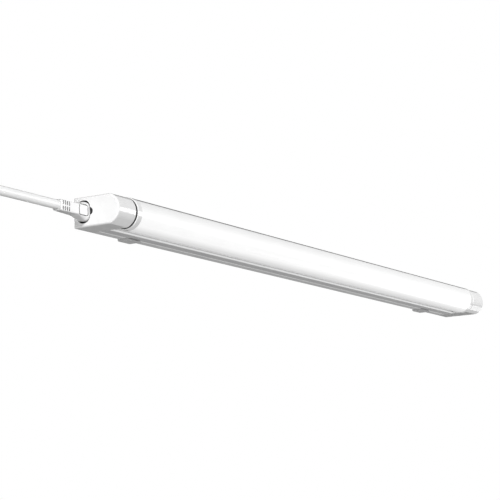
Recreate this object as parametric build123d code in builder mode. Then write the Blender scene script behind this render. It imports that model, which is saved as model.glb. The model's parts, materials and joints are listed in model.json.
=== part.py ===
import os
from math import cos, pi, radians, sin, sqrt, tan

from build123d import *

os.makedirs("parts", exist_ok=True)

# Overall sizes of the light, in millimetres
# X runs along the light, the lead end at -X; the wall is the plane Y = 0; the lamp faces -Y; Z is up
overall_length = 573.0
body_height = 21.0
axis_depth = 27.0
nose_radius = 10.9
tube_radius = 11.4
rail_depth = 16.5

# End blocks
block_length = 20.7
block_wall = 1.8
block_face = 2.2
block_edge = 1.3
block_rim = 0.4
plate_thickness = 2.2
fit_clearance = 0.1

# Rear tray and rail cover, joined at a groove that the clips hook into
tray_floor = 1.4
tray_wall = 1.4
tray_edge = 0.6
rail_wall = 1.5
groove_depth_place = 7.0
groove_width = 1.2
rail_lip = 1.1
rail_lip_reach = 2.8
rail_lip_root = 2.5
trough_drop = 1.5
rail_edge = 1.0
rail_land = 1.3

# Mounting clips
clip_spacing = 453.0
clip_width = 13.5
clip_base = 1.5
clip_leg = 1.4
clip_flare = 0.5
clip_reach = 10.2
clip_nib = 0.9
clip_hole_radius = 2.1
clip_sink_radius = 2.9

# Tongue that joins an end block to the rail, and its screw
tongue_length = 8.0
tongue_wall = 1.5
tongue_clearance = 0.15
screw_radius = 1.4
screw_head_radius = 2.7
screw_length = 6.0
screw_inset = 4.0
screw_head_angle = 90.0
boss_radius = 2.5
boss_height = 3.6

# Swivel at each end of the tube
swivel_gap = 1.6
swivel_range = 60.0
hub_radius = 4.5
hub_bore = 3.0
hub_reach = 2.0
bush_wall = 1.1
bush_flange = 1.0
running_clearance = 0.05
stop_circle = 7.0
stop_radius = 0.8
stop_clearance = 0.15
stop_engagement = 1.7
shoulder_radius = 8.4
shoulder_height = 1.3
ring_radius = 10.4
ring_lip_radius = 10.8
ring_lip = 0.5
ring_clearance = 0.2

# Tube, which at rest shines this many degrees below straight out
tube_turn = 52.0
collar_length = 5.2
collar_proud = 0.1
collar_wall = 2.0
collar_edge = 0.3
plug_ring_wall = 1.4
plug_ring_length = 6.0
diffuser_wall = 1.3
diffuser_half_angle = 104.0
diffuser_lip = 1.8
diffuser_lip_thickness = 1.2
sink_web = 1.6
sink_wall = 1.4
sink_rib = 0.9
board_width = 9.0
board_thickness = 1.2
led_count = 40
led_length = 3.5
led_width = 2.8
led_height = 0.7
led_margin = 14.0

# Inlet and link outlet in the end faces
socket_depth_place = 8.3
socket_width = 11.3
socket_height = 16.0
socket_corner = 5.2
key_radius = 2.7
key_sink = 0.45
key_recess = 0.4
insert_wall = 0.6
insert_rim = 1.2
insert_length = 13.3
insert_floor = 1.5
outlet_recess = 5.8
contact_place = 8.3
contact_spacing = 6.4
pin_radius = 1.2
pin_reach = 9.5
pin_tail = 1.3
pin_edge = 0.6
sleeve_wall = 0.3

# Driver inside the rail
driver_inset = 30.5
driver_length = 118.0
driver_width = 14.0
driver_thickness = 1.2
driver_height = 4.0
standoff_radius = 2.0
standoff_inset = 14.0
capacitor_radius = 3.1
capacitor_length = 12.0
capacitor_edge = 0.6
capacitor_place = -29.5
transformer_length = 16.0
transformer_width = 11.0
transformer_height = 5.6
transformer_slot = 2.7
transformer_slot_depth = 2.8
choke_radius = 3.0
choke_waist = 2.25
choke_flange = 1.35
choke_height = 5.4
choke_place = 23.6
chip_places = ((-42.5, 0.0), (14.8, 3.5), (39.3, 0.0))
chip_length = 5.0
chip_width = 4.0
chip_height = 1.5
supply_wire_radius = 0.8
supply_wire_place = 4.4
supply_wire_spread = 4.6
supply_wire_bend = 1.6
lead_wire_radius = 0.6
lead_wire_spread = 0.9
lead_wire_bend = 0.9
lead_wire_room = 1.0
lead_wire_turn = 1.8
lead_wire_front = 3.0
led_lead_bend = 1.2
led_lead_slope = 3.6
led_lead_overlap = 4.8
connector_width = 3.4
connector_thickness = 2.4
connector_length = 3.6
connector_gap = 0.3
connector_edge = 0.3

# Plug of the power lead
lead_axis_place = 9.0
plug_tail_reach = 30.6
plug_tail_front = 12.4
plug_tail_back = 5.6
plug_tail_height = 7.6
plug_front_corner = 0.9
plug_back_corner = 2.0
plug_shoulder_reach = 11.2
plug_shoulder_front = 12.9
plug_shoulder_back = 3.9
plug_shoulder_height = 7.7
plug_mouth_reach = 1.6
plug_mouth_front = 13.3
plug_mouth_back = 3.3
plug_mouth_height = 13.4
plug_mouth_corner = 4.3
plug_nose_length = 11.0
plug_pad_reach = 10.2
plug_pad_length = 8.4
plug_pad_height = 6.6
plug_pad_corner = 1.2
plug_groove_width = 0.8
plug_groove_floor = 11.9
rib_count = 4
rib_pitch = 2.2
rib_width = 1.1
rib_height = 2.8
rib_floor = 11.0
rib_row_spacing = 3.9
rib_middle = 6.0
sleeve_length = 10.0
sleeve_inset = 0.8

# Power lead: a round mains cord, its put-away coil and its mains plug
cord_diameter = 6.5
bend_share = 0.45
coil_gap = 0.6
coil_radius = 48.0
coil_half_turns_in = 6
coil_half_turns_out = 5
coil_tail = 20.0
tie_width = 8.0
tie_thickness = 1.2
tie_clearance = 0.35
relief_length = 22.0
relief_radius = 5.6
relief_groove_count = 5
relief_groove_pitch = 3.4
relief_groove_width = 1.5
relief_groove_depth = 0.9
relief_groove_start = 4.6
mains_width = 35.3
mains_thickness = 13.7
mains_length = 36.0
mains_neck_width = 13.0
mains_shoulder = 15.0
mains_edge = 2.0
mains_rim = 1.0
mains_pin_radius = 2.0
mains_pin_length = 19.0
mains_pin_spacing = 18.6
mains_pin_seat = 3.0
mains_pin_edge = 1.0

# Places worked out from the sizes above
half_length = overall_length / 2
half_height = body_height / 2
body_back = -clip_base
axis_y = body_back - axis_depth
rail_half = half_length - block_length
socket_y = body_back - socket_depth_place
key_y = socket_y - socket_width / 2 + key_sink
contact_y = body_back - contact_place
groove_back = groove_depth_place - groove_width / 2
groove_front = groove_depth_place + groove_width / 2
tray_inner = half_height - tray_wall
lip_outer = tray_inner - fit_clearance
lip_inner = lip_outer - rail_lip
rail_inner = half_height - rail_wall
front_inner = rail_depth - trough_drop - rail_wall
bush_radius = hub_radius + running_clearance + bush_wall
gap_inset = block_length + swivel_gap
tube_inset = gap_inset + collar_length
tube_half = half_length - tube_inset
diffuser_inner = tube_radius - diffuser_wall
chord_place = -tube_radius * cos(radians(diffuser_half_angle))
board_front = chord_place - board_thickness
driver_place = -(rail_half - driver_inset - driver_length / 2)
driver_back = tray_floor + driver_height
driver_front = driver_back + driver_thickness
tail_inset = block_face + insert_length + pin_tail
cut_size = 3 * tube_radius


def depth(place):
    # Y of a plane that lies this far in front of the body's back
    return body_back - place


def inset_x(side, inset):
    # X of a plane that lies this far in from an end face; side is -1 at the lead end, +1 at the far end
    return side * (half_length - inset)


def facing_front(x, place):
    # Plane at this X and depth, looking the way the lamp faces, with its own X along the light
    return Plane(origin=(x, depth(place), 0), x_dir=(1, 0, 0), z_dir=(0, -1, 0))


def across_tube(x):
    # Plane across the tube at this X, centred on the swivel axis, its own X pointing away from the lit side
    turn = radians(tube_turn)
    return Plane(origin=(x, axis_y, 0), x_dir=(0, cos(turn), sin(turn)), z_dir=(1, 0, 0))


def in_tube(x, behind, across):
    # Point in the tube at this X, so far behind the swivel axis and across the LED board
    return across_tube(x).from_local_coords((behind, across, 0))


def write(builder, name):
    builder.part.label = name
    export_step(builder.part, f"parts/{name}.step")


def end_outline(inset):
    # Flat back, top and bottom with a round nose, drawn this far inside the outer skin
    half = half_height - inset
    radius = nose_radius - inset
    back = body_back - inset
    corner = axis_y - sqrt(radius**2 - half**2)
    with BuildSketch() as outline:
        with BuildLine():
            Polyline((corner, half), (back, half), (back, -half), (corner, -half))
            ThreePointArc((corner, -half), (axis_y - radius, 0), (corner, half))
        make_face()
    return outline.sketch


def socket_outline(grow):
    with BuildSketch() as outline:
        with Locations((socket_y, 0)):
            RectangleRounded(socket_width + 2 * grow, socket_height + 2 * grow, socket_corner + grow)
    return outline.sketch


def plug_outline(front, back, height, front_corner, back_corner):
    # Section of the lead's plug, with a flat front
    with BuildSketch() as outline:
        with Locations((depth((front + back) / 2), 0)):
            Rectangle(front - back, height)
        fillet(outline.vertices().group_by(Axis.X)[0], front_corner)
        fillet(outline.vertices().group_by(Axis.X)[-1], back_corner)
    return outline.sketch


def tongue_outline(inset):
    # Section of the tongue inside the rail's end
    back = depth(tray_floor + tongue_clearance + inset)
    front = depth(front_inner - tongue_clearance - inset)
    half = lip_inner - tongue_clearance - inset
    with BuildSketch() as outline:
        with Locations(((back + front) / 2, 0)):
            Rectangle(back - front, 2 * half)
    return outline.sketch


ends = ((-1, "near"), (1, "far"))

# End block shells: hollow from the inner end, with the socket opening and its key notch in the face
for side, end in ends:
    with BuildPart() as end_block:
        with BuildSketch(Plane.YZ.offset(inset_x(side, 0))):
            add(end_outline(0))
        extrude(amount=-side * block_length)
        outer_face = end_block.faces().filter_by(Axis.X).sort_by(Axis.X)[::side][-1]
        fillet(outer_face.edges(), block_edge)
        inner_face = end_block.faces().filter_by(Axis.X).sort_by(Axis.X)[::side][0]
        fillet(inner_face.edges(), block_rim)
        with BuildSketch(Plane.YZ.offset(inset_x(side, block_face))):
            add(end_outline(block_wall))
        extrude(amount=-side * (block_length - block_face), mode=Mode.SUBTRACT)
        with BuildSketch(Plane.YZ.offset(inset_x(side, 0))):
            add(socket_outline(0))
            with Locations((key_y, 0)):
                Circle(key_radius)
        extrude(amount=-side * block_face, mode=Mode.SUBTRACT)
    write(end_block, f"{end}_end_block")

# Inner plates: close the blocks, carry the bushes and the stop slots, and reach into the rail
for side, end in ends:
    with BuildPart() as inner_plate:
        with BuildSketch(Plane.YZ.offset(inset_x(side, block_length - plate_thickness))):
            add(end_outline(block_wall + fit_clearance))
        extrude(amount=-side * plate_thickness)
        with BuildSketch(Plane.YZ.offset(inset_x(side, block_length))):
            add(tongue_outline(0))
        extrude(amount=-side * tongue_length)
        with BuildSketch(Plane.YZ.offset(inset_x(side, block_length - plate_thickness))):
            add(tongue_outline(tongue_wall))
        extrude(amount=-side * (plate_thickness + tongue_length), mode=Mode.SUBTRACT)
        boss_plane = facing_front(inset_x(side, block_length + screw_inset), tray_floor + tongue_clearance)
        with BuildSketch(boss_plane):
            Circle(boss_radius)
        extrude(amount=tongue_wall + boss_height - tray_floor)
        with BuildSketch(boss_plane):
            Circle(screw_radius)
        extrude(amount=screw_length - tray_floor, mode=Mode.SUBTRACT)
        with BuildSketch(across_tube(inset_x(side, block_length - plate_thickness))):
            Circle(bush_radius)
            with BuildLine(mode=Mode.PRIVATE) as stop_path:
                CenterArc((0, 0), stop_circle, -swivel_range, 2 * swivel_range)
            SlotArc(stop_path.edge(), 2 * (stop_radius + stop_clearance))
        extrude(amount=-side * plate_thickness, mode=Mode.SUBTRACT)
    write(inner_plate, f"{end}_inner_plate")

# Flanged bushes pressed into the plates
for side, end in ends:
    with BuildPart() as bush:
        with BuildSketch(Plane.YZ.offset(inset_x(side, block_length))):
            with Locations((axis_y, 0)):
                Circle(bush_radius)
        extrude(amount=side * plate_thickness)
        with BuildSketch(Plane.YZ.offset(inset_x(side, block_length - plate_thickness))):
            with Locations((axis_y, 0)):
                Circle(bush_radius + bush_flange)
        extrude(amount=side * bush_flange)
        with BuildSketch(Plane.YZ.offset(inset_x(side, block_length))):
            with Locations((axis_y, 0)):
                Circle(hub_radius + running_clearance)
        extrude(amount=side * (plate_thickness + bush_flange), mode=Mode.SUBTRACT)
    write(bush, f"{end}_bush")

# Rear tray: a shallow channel on the wall side, with two standoffs for the driver and a hole for each screw
with BuildPart() as rear_tray:
    with BuildSketch(Plane.YZ.offset(-rail_half)):
        with BuildLine():
            Polyline(
                (depth(0), 0),
                (depth(0), half_height),
                (depth(groove_back - tray_edge), half_height),
                (depth(groove_back), half_height - tray_edge),
                (depth(groove_back), tray_inner),
                (depth(tray_floor), tray_inner),
                (depth(tray_floor), 0),
                close=True,
            )
        make_face()
        mirror(about=Plane.XZ)
    extrude(amount=2 * rail_half)
    standoff_span = driver_length - 2 * standoff_inset
    with BuildSketch(facing_front(driver_place, tray_floor)):
        with GridLocations(standoff_span, 0, 2, 1):
            Circle(standoff_radius)
    extrude(amount=driver_height)
    for side, end in ends:
        screw_x = inset_x(side, block_length + screw_inset)
        with Locations(Plane(origin=(screw_x, depth(0), 0), z_dir=(0, 1, 0))):
            CounterSinkHole(screw_radius, screw_head_radius, tray_floor, screw_head_angle)
write(rear_tray, "rear_tray")

# Rail cover: faces the tube with a shallow trough, and its two lips slide inside the tray's walls
with BuildPart() as rail_cover:
    with BuildSketch(Plane.YZ.offset(-rail_half)):
        land = half_height - rail_land
        with BuildLine():
            ThreePointArc(
                (depth(rail_depth), land),
                (depth(rail_depth - trough_drop), 0),
                (depth(rail_depth), -land),
            )
            outer_half = [
                (depth(rail_depth), land),
                (depth(rail_depth), half_height - rail_edge),
                (depth(rail_depth - rail_edge), half_height),
                (depth(groove_front), half_height),
                (depth(groove_front), lip_outer),
                (depth(groove_front - rail_lip_reach - groove_width), lip_outer),
                (depth(groove_front - rail_lip_reach - groove_width), lip_inner),
                (depth(groove_front + rail_lip_root), lip_inner),
                (depth(groove_front + rail_lip_root), rail_inner),
                (depth(front_inner), rail_inner),
            ]
            Polyline(*outer_half, *[(y, -z) for y, z in reversed(outer_half)])
        make_face()
    extrude(amount=2 * rail_half)
write(rail_cover, "rail_cover")

# Countersunk screws that hold the tray and the end blocks' tongues together
with BuildPart() as tray_screws:
    for side, end in ends:
        screw_x = inset_x(side, block_length + screw_inset)
        with BuildSketch(Plane.XY):
            with BuildLine():
                Polyline(
                    (screw_x, depth(0)),
                    (screw_x + screw_head_radius, depth(0)),
                    (screw_x + screw_radius, depth(screw_head_radius - screw_radius)),
                    (screw_x + screw_radius, depth(screw_length)),
                    (screw_x, depth(screw_length)),
                    close=True,
                )
            make_face()
        revolve(axis=Axis((screw_x, 0, 0), (0, 1, 0)))
write(tray_screws, "tray_screws")

# Mounting clips: screwed to the wall, their hooked legs snap into the rail's grooves
for side, name in ((-1, "left"), (1, "right")):
    leg_inner = half_height + fit_clearance
    leg_outer = leg_inner + clip_leg
    nib_half = groove_width / 2 - fit_clearance
    with BuildPart() as clip:
        with BuildSketch(Plane.YZ.offset(side * clip_spacing / 2 - clip_width / 2)):
            with BuildLine():
                Polyline(
                    (0, 0),
                    (0, leg_outer - clip_leg / 2),
                    (-clip_leg / 2, leg_outer),
                    (depth(groove_depth_place), leg_outer),
                    (-clip_reach, leg_outer + clip_flare),
                    (-clip_reach, leg_inner + clip_flare),
                    (depth(groove_depth_place + nib_half), leg_inner),
                    (depth(groove_depth_place + nib_half), leg_inner - clip_nib),
                    (depth(groove_depth_place - nib_half), leg_inner - clip_nib),
                    (depth(groove_depth_place - nib_half), leg_inner),
                    (-clip_base, leg_inner),
                    (-clip_base, 0),
                    close=True,
                )
            make_face()
            mirror(about=Plane.XZ)
        extrude(amount=clip_width)
        with Locations(Plane(origin=(side * clip_spacing / 2, -clip_base, 0), z_dir=(0, -1, 0))):
            CounterSinkHole(clip_hole_radius, clip_sink_radius, depth=clip_base)
    write(clip, f"{name}_mounting_clip")

# Inlet and outlet inserts: insulating cups behind the socket openings, each with a key in the face's notch
for side, name in ((-1, "inlet_insert"), (1, "outlet_insert")):
    recess = insert_length - insert_floor if side < 0 else outlet_recess
    hole_radius = pin_radius if side < 0 else pin_radius + sleeve_wall + running_clearance
    with BuildPart() as insert:
        with BuildSketch(Plane.YZ.offset(inset_x(side, block_face))):
            add(socket_outline(insert_wall))
        extrude(amount=-side * insert_length)
        with BuildSketch(Plane.YZ.offset(inset_x(side, block_face))):
            with Locations((key_y, 0)):
                Circle(key_radius + insert_wall)
        extrude(amount=-side * insert_rim)
        key_height = block_face - key_recess
        with BuildSketch(Plane.YZ.offset(inset_x(side, key_recess))):
            with Locations((key_y, 0)):
                Circle(key_radius - fit_clearance)
        extrude(amount=-side * key_height)
        with BuildSketch(Plane.YZ.offset(inset_x(side, key_recess))):
            add(socket_outline(0))
        extrude(amount=-side * (key_height + recess), mode=Mode.SUBTRACT)
        with BuildSketch(Plane.YZ.offset(inset_x(side, block_face + recess))):
            with Locations((contact_y, 0)):
                with GridLocations(0, contact_spacing, 1, 2):
                    Circle(hole_radius)
        extrude(amount=-side * (insert_length - recess), mode=Mode.SUBTRACT)
    write(insert, name)

# Inlet pins, with their solder tails behind the insert
with BuildPart() as inlet_pins:
    with BuildSketch(Plane.YZ.offset(inset_x(-1, tail_inset))):
        with Locations((contact_y, 0)):
            with GridLocations(0, contact_spacing, 1, 2):
                Circle(pin_radius)
    extrude(amount=-(pin_tail + insert_floor + pin_reach))
    fillet(inlet_pins.edges().group_by(Axis.X)[0], pin_edge)
write(inlet_pins, "inlet_pins")

# Outlet contacts: open sleeves that take the next light's pins
with BuildPart() as outlet_contacts:
    with BuildSketch(Plane.YZ.offset(inset_x(1, tail_inset))):
        with Locations((contact_y, 0)):
            with GridLocations(0, contact_spacing, 1, 2):
                Circle(pin_radius + sleeve_wall + running_clearance)
    extrude(amount=pin_tail + insert_length - outlet_recess)
    with BuildSketch(Plane.YZ.offset(inset_x(1, block_face + insert_length))):
        with Locations((contact_y, 0)):
            with GridLocations(0, contact_spacing, 1, 2):
                Circle(pin_radius + running_clearance)
    extrude(amount=insert_length - outlet_recess, mode=Mode.SUBTRACT)
write(outlet_contacts, "outlet_contacts")

# Driver board and its parts, inside the rail at the lead end
with BuildPart() as driver_board:
    with BuildSketch(facing_front(driver_place, driver_back)):
        Rectangle(driver_length, driver_width)
    extrude(amount=driver_thickness)
write(driver_board, "driver_board")

driver_face = facing_front(driver_place, driver_front)

with BuildPart() as driver_capacitor:
    with BuildSketch(Plane.YZ.offset(driver_place + capacitor_place - capacitor_length / 2)):
        with Locations((depth(driver_front + capacitor_radius), 0)):
            Circle(capacitor_radius)
    extrude(amount=capacitor_length)
    fillet(driver_capacitor.edges().filter_by(GeomType.CIRCLE), capacitor_edge)
write(driver_capacitor, "driver_capacitor")

with BuildPart() as driver_transformer:
    with BuildSketch(driver_face):
        Rectangle(transformer_length, transformer_width)
    extrude(amount=transformer_height)
    with BuildSketch(driver_face.offset(transformer_height)):
        with GridLocations(transformer_length / 2, 0, 2, 1):
            Rectangle(transformer_slot, transformer_width)
    extrude(amount=-transformer_slot_depth, mode=Mode.SUBTRACT)
write(driver_transformer, "driver_transformer")

with BuildPart() as driver_choke:
    with BuildSketch(driver_face):
        with Locations((choke_place, 0)):
            Circle(choke_radius)
    extrude(amount=choke_height)
    with BuildSketch(driver_face.offset(choke_flange)):
        with Locations((choke_place, 0)):
            Circle(choke_radius)
            Circle(choke_waist, mode=Mode.SUBTRACT)
    extrude(amount=choke_height - 2 * choke_flange, mode=Mode.SUBTRACT)
write(driver_choke, "driver_choke")

with BuildPart() as driver_chips:
    with BuildSketch(driver_face):
        with Locations(*chip_places):
            Rectangle(chip_length, chip_width)
    extrude(amount=chip_height)
write(driver_chips, "driver_chips")


def wire(points, bend, radius):
    # One round wire along straight runs joined by arcs
    with BuildPart() as strand:
        with BuildLine() as route:
            FilletPolyline(*points, radius=bend)
        with BuildSketch(Plane(origin=points[0], z_dir=route.line % 0)):
            Circle(radius)
        sweep()
    return strand.part


# Supply wires: from the inlet pins through the rail to the outlet contacts
with BuildPart() as supply_wires:
    for half in (-1, 1):
        pin_z = half * contact_spacing / 2
        wire_z = half * supply_wire_spread
        wire_y = depth(supply_wire_place)
        inner_inset = block_length + tongue_length
        add(
            wire(
                [
                    (inset_x(-1, tail_inset), contact_y, pin_z),
                    (inset_x(-1, tail_inset + supply_wire_bend), contact_y, pin_z),
                    (inset_x(-1, inner_inset), wire_y, wire_z),
                    (inset_x(1, inner_inset), wire_y, wire_z),
                    (inset_x(1, tail_inset + supply_wire_bend), contact_y, pin_z),
                    (inset_x(1, tail_inset), contact_y, pin_z),
                ],
                supply_wire_bend,
                supply_wire_radius,
            )
        )
write(supply_wires, "supply_wires")

# Driver leads: from the driver board to the connector on the swivel axis
connector_back = inset_x(-1, block_length - plate_thickness - hub_reach - connector_gap - connector_length)
lead_out = inset_x(-1, block_length - plate_thickness - lead_wire_room)
lead_turn = connector_back - lead_wire_turn
lead_front = depth(socket_depth_place + socket_width / 2 + insert_wall + lead_wire_front)
with BuildPart() as driver_leads:
    for half in (-1, 1):
        wire_z = half * lead_wire_spread
        wire_y = depth(driver_front + lead_wire_radius)
        add(
            wire(
                [
                    (driver_place - driver_length / 2 + standoff_radius, wire_y, wire_z),
                    (lead_out, wire_y, wire_z),
                    (lead_out, lead_front, wire_z),
                    (lead_turn, lead_front, wire_z),
                    (lead_turn, axis_y, wire_z),
                    (connector_back, axis_y, wire_z),
                ],
                lead_wire_bend,
                lead_wire_radius,
            )
        )
write(driver_leads, "driver_leads")

with BuildPart() as driver_connector:
    with BuildSketch(Plane.YZ.offset(connector_back)):
        with Locations((axis_y, 0)):
            Rectangle(connector_thickness, connector_width)
    extrude(amount=connector_length)
    chamfer(driver_connector.edges().filter_by(Axis.X), connector_edge)
write(driver_connector, "driver_connector")

# Tube end collars: cap, hollow hub, shoulder for the friction ring, and stop peg
for side, end in ends:
    with BuildPart() as collar:
        with BuildSketch(across_tube(inset_x(side, gap_inset))):
            Circle(tube_radius + collar_proud)
        extrude(amount=-side * collar_length)
        chamfer(collar.edges().filter_by(GeomType.CIRCLE), collar_edge)
        with BuildSketch(across_tube(inset_x(side, gap_inset + collar_wall))):
            Circle(diffuser_inner - fit_clearance)
        extrude(amount=-side * (collar_length - collar_wall), mode=Mode.SUBTRACT)
        with BuildSketch(across_tube(inset_x(side, gap_inset + collar_wall))):
            Circle(diffuser_inner - fit_clearance)
            Circle(diffuser_inner - fit_clearance - plug_ring_wall, mode=Mode.SUBTRACT)
            Rectangle(cut_size, cut_size, align=(Align.MIN, Align.CENTER), mode=Mode.SUBTRACT)
        extrude(amount=-side * (collar_length - collar_wall + plug_ring_length))
        with BuildSketch(across_tube(inset_x(side, gap_inset))):
            Circle(shoulder_radius)
        extrude(amount=side * shoulder_height)
        with BuildSketch(across_tube(inset_x(side, gap_inset))):
            Circle(hub_radius)
        extrude(amount=side * (swivel_gap + plate_thickness + hub_reach))
        with BuildSketch(across_tube(inset_x(side, gap_inset))):
            with Locations((stop_circle, 0)):
                Circle(stop_radius)
        extrude(amount=side * (swivel_gap + stop_engagement))
        with BuildSketch(across_tube(inset_x(side, gap_inset + collar_wall))):
            Circle(hub_bore)
        extrude(amount=side * (collar_wall + swivel_gap + plate_thickness + hub_reach), mode=Mode.SUBTRACT)
    write(collar, f"{end}_tube_collar")

# Friction rings on the collars' shoulders, each with a thin lip against the collar
for side, end in ends:
    with BuildPart() as friction_ring:
        with BuildSketch(across_tube(inset_x(side, gap_inset))):
            Circle(ring_radius)
        extrude(amount=side * (swivel_gap - ring_clearance))
        with BuildSketch(across_tube(inset_x(side, gap_inset))):
            Circle(ring_lip_radius)
        extrude(amount=side * ring_lip)
        with BuildSketch(across_tube(inset_x(side, gap_inset))):
            Circle(shoulder_radius)
        extrude(amount=side * swivel_gap, mode=Mode.SUBTRACT)
    write(friction_ring, f"{end}_friction_ring")

# Diffuser: an opal shell round the lit side of the tube, with a lip along each edge
lip_across = sqrt(diffuser_inner**2 - chord_place**2)
with BuildPart() as diffuser:
    with BuildSketch(across_tube(-tube_half)):
        Circle(tube_radius)
        Circle(diffuser_inner, mode=Mode.SUBTRACT)
        with Locations((chord_place, 0)):
            Rectangle(cut_size, cut_size, align=(Align.MIN, Align.CENTER), mode=Mode.SUBTRACT)
        with Locations((chord_place - diffuser_lip_thickness / 2, 0)):
            with GridLocations(0, 2 * (lip_across - diffuser_lip / 2 + diffuser_wall / 2), 1, 2):
                Rectangle(diffuser_lip_thickness, diffuser_lip + diffuser_wall)
        Circle(tube_radius, mode=Mode.INTERSECT)
    extrude(amount=2 * tube_half)
write(diffuser, "diffuser")

# Heat sink: a hollow aluminium profile that closes the back of the tube and carries the LED board
with BuildPart() as heat_sink:
    with BuildSketch(across_tube(-tube_half)):
        Circle(tube_radius)
        with Locations((chord_place, 0)):
            Rectangle(cut_size, cut_size, align=(Align.MAX, Align.CENTER), mode=Mode.SUBTRACT)
        with BuildSketch(mode=Mode.SUBTRACT):
            Circle(tube_radius - sink_wall)
            with Locations((chord_place + sink_web, 0)):
                Rectangle(cut_size, cut_size, align=(Align.MAX, Align.CENTER), mode=Mode.SUBTRACT)
        rib_across = lip_across - diffuser_lip - fit_clearance - sink_rib / 2
        with Locations((chord_place - diffuser_lip_thickness / 2, 0)):
            with GridLocations(0, 2 * rib_across, 1, 2):
                Rectangle(diffuser_lip_thickness, sink_rib)
    extrude(amount=2 * tube_half)
write(heat_sink, "heat_sink")

# LED board on the heat sink's web, and its LEDs
with BuildPart() as led_board:
    with BuildSketch(across_tube(-tube_half + fit_clearance)):
        with Locations((chord_place - board_thickness / 2, 0)):
            Rectangle(board_thickness, board_width)
    extrude(amount=2 * (tube_half - fit_clearance))
write(led_board, "led_board")

board_face = Plane(origin=in_tube(0, board_front, 0), x_dir=(1, 0, 0), z_dir=-across_tube(0).x_dir)
with BuildPart() as leds:
    led_pitch = 2 * (tube_half - led_margin) / (led_count - 1)
    with BuildSketch(board_face):
        with GridLocations(led_pitch, 0, led_count, 1):
            Rectangle(led_length, led_width)
    extrude(amount=led_height)
write(leds, "leds")

# LED leads: from the swivel connector through the hub to the board's end
lead_start = connector_back + 2 * connector_length + connector_gap
with BuildPart() as led_leads:
    for half in (-1, 1):
        across = half * lead_wire_spread
        behind = board_front - lead_wire_radius
        add(
            wire(
                [
                    in_tube(lead_start, 0, across),
                    in_tube(-tube_half - led_lead_bend, 0, across),
                    in_tube(-tube_half - led_lead_bend + led_lead_slope, behind, across),
                    in_tube(-tube_half + led_lead_overlap, behind, across),
                ],
                led_lead_bend,
                lead_wire_radius,
            )
        )
write(led_leads, "led_leads")

with BuildPart() as led_connector:
    with BuildSketch(across_tube(connector_back + connector_length + connector_gap)):
        Rectangle(connector_thickness, connector_width)
    extrude(amount=connector_length)
    chamfer(led_connector.edges().filter_by(Axis.X), connector_edge)
write(led_connector, "led_connector")

# Plug of the lead: a flat-fronted wedge that flares to its mouth, with a grooved pad and rows of grip slots
plug_tail_x = -half_length - plug_tail_reach
with BuildPart() as lead_plug:
    with BuildSketch(Plane.YZ.offset(plug_tail_x)):
        tail_size = (plug_tail_front, plug_tail_back, plug_tail_height)
        add(plug_outline(*tail_size, plug_front_corner, plug_back_corner))
    with BuildSketch(Plane.YZ.offset(-half_length - plug_shoulder_reach)) as shoulder:
        shoulder_size = (plug_shoulder_front, plug_shoulder_back, plug_shoulder_height)
        add(plug_outline(*shoulder_size, plug_front_corner, plug_back_corner))
    loft()
    with BuildSketch(Plane.YZ.offset(-half_length - plug_mouth_reach)) as mouth:
        mouth_size = (plug_mouth_front, plug_mouth_back, plug_mouth_height)
        add(plug_outline(*mouth_size, plug_mouth_corner, plug_mouth_corner))
    loft([shoulder.sketch.face(), mouth.sketch.face()])
    extrude(amount=plug_mouth_reach + plug_nose_length)
    pad_x = -half_length - plug_pad_reach + plug_pad_length / 2
    with BuildSketch(facing_front(pad_x, plug_groove_floor)):
        groove_length = plug_pad_length + 2 * plug_groove_width
        groove_height = plug_pad_height + 2 * plug_groove_width
        RectangleRounded(groove_length, groove_height, plug_pad_corner + plug_groove_width)
        RectangleRounded(plug_pad_length, plug_pad_height, plug_pad_corner, mode=Mode.SUBTRACT)
    extrude(amount=plug_mouth_front - plug_groove_floor, mode=Mode.SUBTRACT)
    with BuildSketch(facing_front(plug_tail_x + rib_middle, rib_floor)):
        with GridLocations(rib_pitch, rib_row_spacing, rib_count, 2):
            Rectangle(rib_width, rib_height)
    extrude(amount=plug_shoulder_front - rib_floor, mode=Mode.SUBTRACT)
    with BuildSketch(Plane.YZ.offset(-half_length + plug_nose_length)):
        with Locations((contact_y, 0)):
            with GridLocations(0, contact_spacing, 1, 2):
                Circle(pin_radius + running_clearance + sleeve_wall)
    extrude(amount=-sleeve_length - sleeve_inset, mode=Mode.SUBTRACT)
write(lead_plug, "lead_plug")

with BuildPart() as plug_contacts:
    with BuildSketch(Plane.YZ.offset(-half_length + plug_nose_length - sleeve_inset)):
        with Locations((contact_y, 0)):
            with GridLocations(0, contact_spacing, 1, 2):
                Circle(pin_radius + running_clearance + sleeve_wall)
                Circle(pin_radius + running_clearance, mode=Mode.SUBTRACT)
    extrude(amount=-sleeve_length)
write(plug_contacts, "plug_contacts")

# Lead: straight out of the plug, down in an even bend, then into the coil
cord_y = depth(lead_axis_place)
cord_route = [
    (plug_tail_x, cord_y, 0),
    (-400, cord_y, 0),
    (-428, cord_y, -12),
    (-446, cord_y, -38),
    (-446, cord_y, -68),
]


def bend_radii(points):
    # The largest even arcs that the runs beside each corner allow
    radii = []
    for before, corner, after in zip(points, points[1:], points[2:]):
        arriving = Vector(*corner) - Vector(*before)
        leaving = Vector(*after) - Vector(*corner)
        turn = radians(arriving.get_angle(leaving))
        radii.append(bend_share * min(arriving.length, leaving.length) / tan(turn / 2))
    return radii


cord_radii = bend_radii(cord_route)
print("cord bend radii", [round(radius, 1) for radius in cord_radii])
cord_section = pi * cord_diameter**2 / 4
with BuildPart() as lead_cord:
    with BuildLine() as cord_path:
        FilletPolyline(*cord_route, radius=cord_radii)
    with BuildSketch(Plane(origin=cord_route[0], z_dir=(-1, 0, 0))):
        Circle(cord_diameter / 2)
    sweep()
cord_length = sum(edge.length for edge in cord_path.edges())
print("cord length", round(cord_length, 1))
print("cord volume over section times length", round(lead_cord.part.volume / cord_section / cord_length, 4))
write(lead_cord, "lead_cord")

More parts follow.
